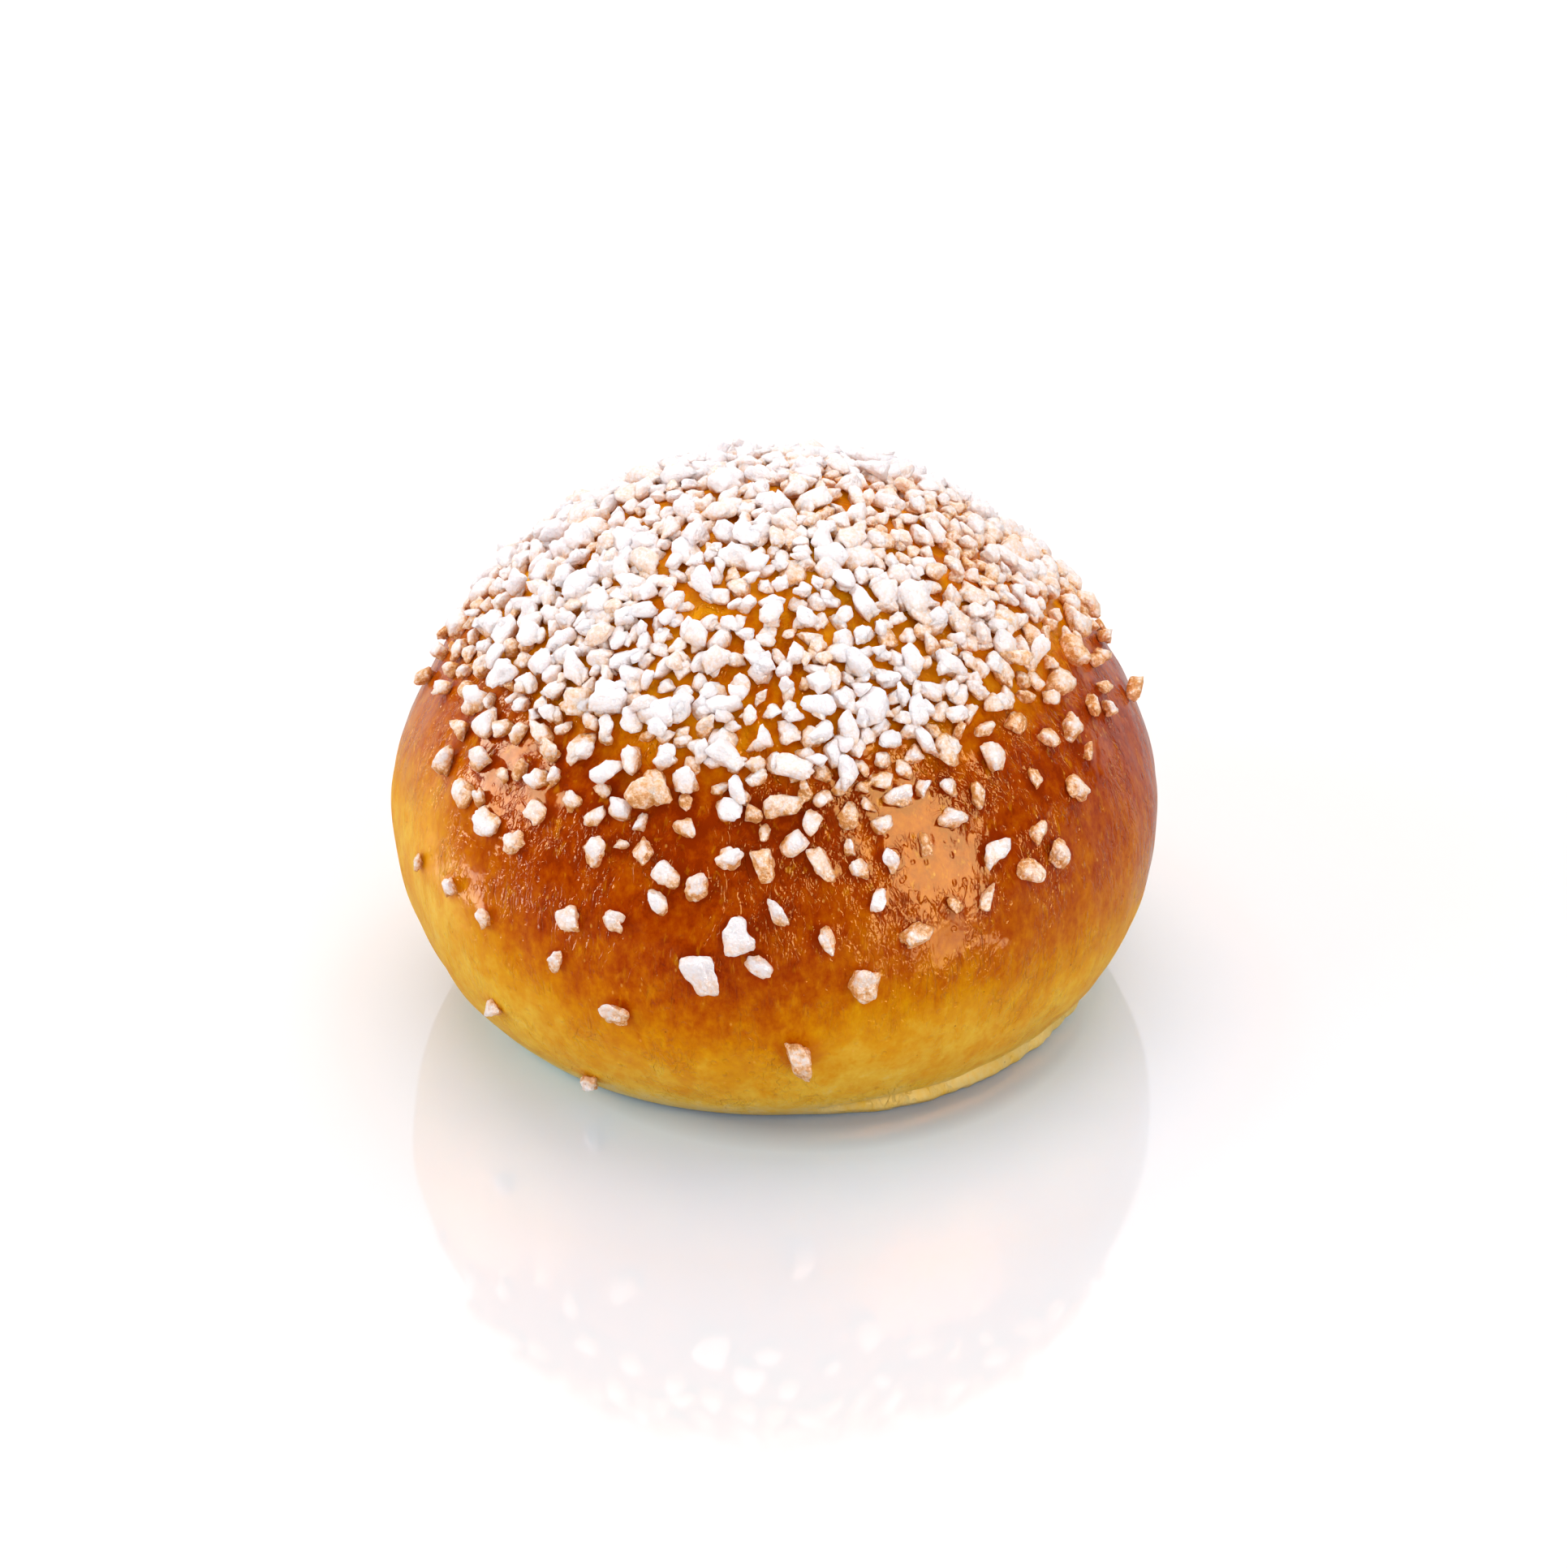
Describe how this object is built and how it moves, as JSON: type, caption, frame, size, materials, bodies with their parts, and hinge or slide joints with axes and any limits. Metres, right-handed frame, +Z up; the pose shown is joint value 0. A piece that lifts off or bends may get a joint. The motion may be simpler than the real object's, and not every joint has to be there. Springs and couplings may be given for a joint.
{
  "type": "brioche bun with pearl sugar",
  "caption": "Round glazed brioche bun, domed and flat-based, crowned with a fused cap of white pearl sugar and scattered single nibs.",
  "frame": {"origin": "centre of the flat base that the bun rests on", "axes": "+Z up through the crown; -Y is the side the bun is seen from; the bun is nearly round, so X and Y are otherwise free"},
  "size_m": [0.0923, 0.096, 0.066],
  "materials": {
    "crust": "baked crust, egg-wash gloss",
    "pearl_sugar": "satin, slightly translucent"
  },
  "bodies": {
    "root": {"bun": "crust", "sugar_cap": "pearl_sugar", "sugar_nib_01": "pearl_sugar", "sugar_nib_02": "pearl_sugar", "sugar_nib_03": "pearl_sugar", "sugar_nib_04": "pearl_sugar", "sugar_nib_05": "pearl_sugar", "sugar_nib_06": "pearl_sugar", "sugar_nib_07": "pearl_sugar", "sugar_nib_08": "pearl_sugar", "sugar_nib_09": "pearl_sugar", "sugar_nib_10": "pearl_sugar", "sugar_nib_11": "pearl_sugar", "sugar_nib_12": "pearl_sugar", "sugar_nib_13": "pearl_sugar", "sugar_nib_14": "pearl_sugar", "sugar_nib_15": "pearl_sugar", "sugar_nib_16": "pearl_sugar", "sugar_nib_17": "pearl_sugar", "sugar_nib_18": "pearl_sugar", "sugar_nib_19": "pearl_sugar", "sugar_nib_20": "pearl_sugar", "sugar_nib_21": "pearl_sugar", "sugar_nib_22": "pearl_sugar", "sugar_nib_23": "pearl_sugar", "sugar_nib_24": "pearl_sugar", "sugar_nib_25": "pearl_sugar", "sugar_nib_26": "pearl_sugar", "sugar_nib_27": "pearl_sugar", "sugar_nib_28": "pearl_sugar", "sugar_nib_29": "pearl_sugar", "sugar_nib_30": "pearl_sugar", "sugar_nib_31": "pearl_sugar", "sugar_nib_32": "pearl_sugar", "sugar_nib_33": "pearl_sugar", "sugar_nib_34": "pearl_sugar", "sugar_nib_35": "pearl_sugar", "sugar_nib_36": "pearl_sugar", "sugar_nib_37": "pearl_sugar", "sugar_nib_38": "pearl_sugar", "sugar_nib_39": "pearl_sugar", "sugar_nib_40": "pearl_sugar", "sugar_nib_41": "pearl_sugar", "sugar_nib_42": "pearl_sugar", "sugar_nib_43": "pearl_sugar", "sugar_nib_44": "pearl_sugar", "sugar_nib_45": "pearl_sugar", "sugar_nib_46": "pearl_sugar", "sugar_nib_47": "pearl_sugar", "sugar_nib_48": "pearl_sugar", "sugar_nib_49": "pearl_sugar", "sugar_nib_50": "pearl_sugar", "sugar_nib_51": "pearl_sugar", "sugar_nib_52": "pearl_sugar", "sugar_nib_53": "pearl_sugar", "sugar_nib_54": "pearl_sugar", "sugar_nib_55": "pearl_sugar", "sugar_nib_56": "pearl_sugar"}
  },
  "joints": []
}
